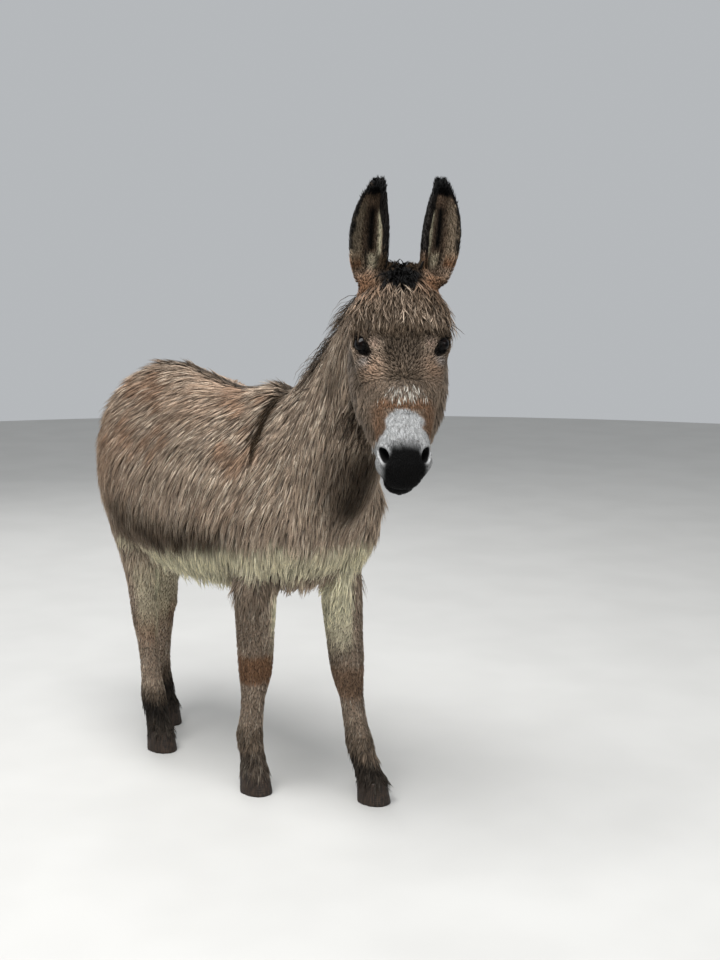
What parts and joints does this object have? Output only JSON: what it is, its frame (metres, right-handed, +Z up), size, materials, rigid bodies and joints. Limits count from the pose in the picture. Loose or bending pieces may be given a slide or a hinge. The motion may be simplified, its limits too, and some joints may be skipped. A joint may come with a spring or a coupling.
{
  "type": "donkey",
  "caption": "Standing grey-brown donkey with a shaggy coat, long upright ears, a dark shoulder stripe and a pale muzzle, its head turned to its right.",
  "frame": {"origin": "on the floor, under the middle of the box round the whole animal", "axes": "+X is the way the trunk faces, +Y is the animal's left, +Z is up"},
  "size_m": [1.55, 0.48, 1.6209],
  "materials": {
    "body_coat": "long clumped fur, light tips over dark brown roots, a dark cross on the back and shoulders, cream under the belly",
    "face_coat": "short fur on the face, shaggy on the forehead, with a pale muzzle and a dark nose and lips",
    "dark_coat": "dark brown fur on the ears and the end of the tail",
    "hooves": "dark worn horn with faint growth rings",
    "eyes": "wet dark brown eye"
  },
  "bodies": {
    "root": {"ear_left": "dark_coat", "ear_right": "dark_coat", "eye_left": "eyes", "eye_right": "eyes", "fore_left_hoof": "hooves", "fore_left_lower": "body_coat", "fore_left_upper": "body_coat", "fore_right_hoof": "hooves", "fore_right_lower": "body_coat", "fore_right_upper": "body_coat", "head": "face_coat", "hind_left_hoof": "hooves", "hind_left_lower": "body_coat", "hind_left_upper": "body_coat", "hind_right_hoof": "hooves", "hind_right_lower": "body_coat", "hind_right_upper": "body_coat", "neck": "body_coat", "tail_dock": "body_coat", "tail_switch": "dark_coat", "trunk": "body_coat"}
  },
  "joints": []
}
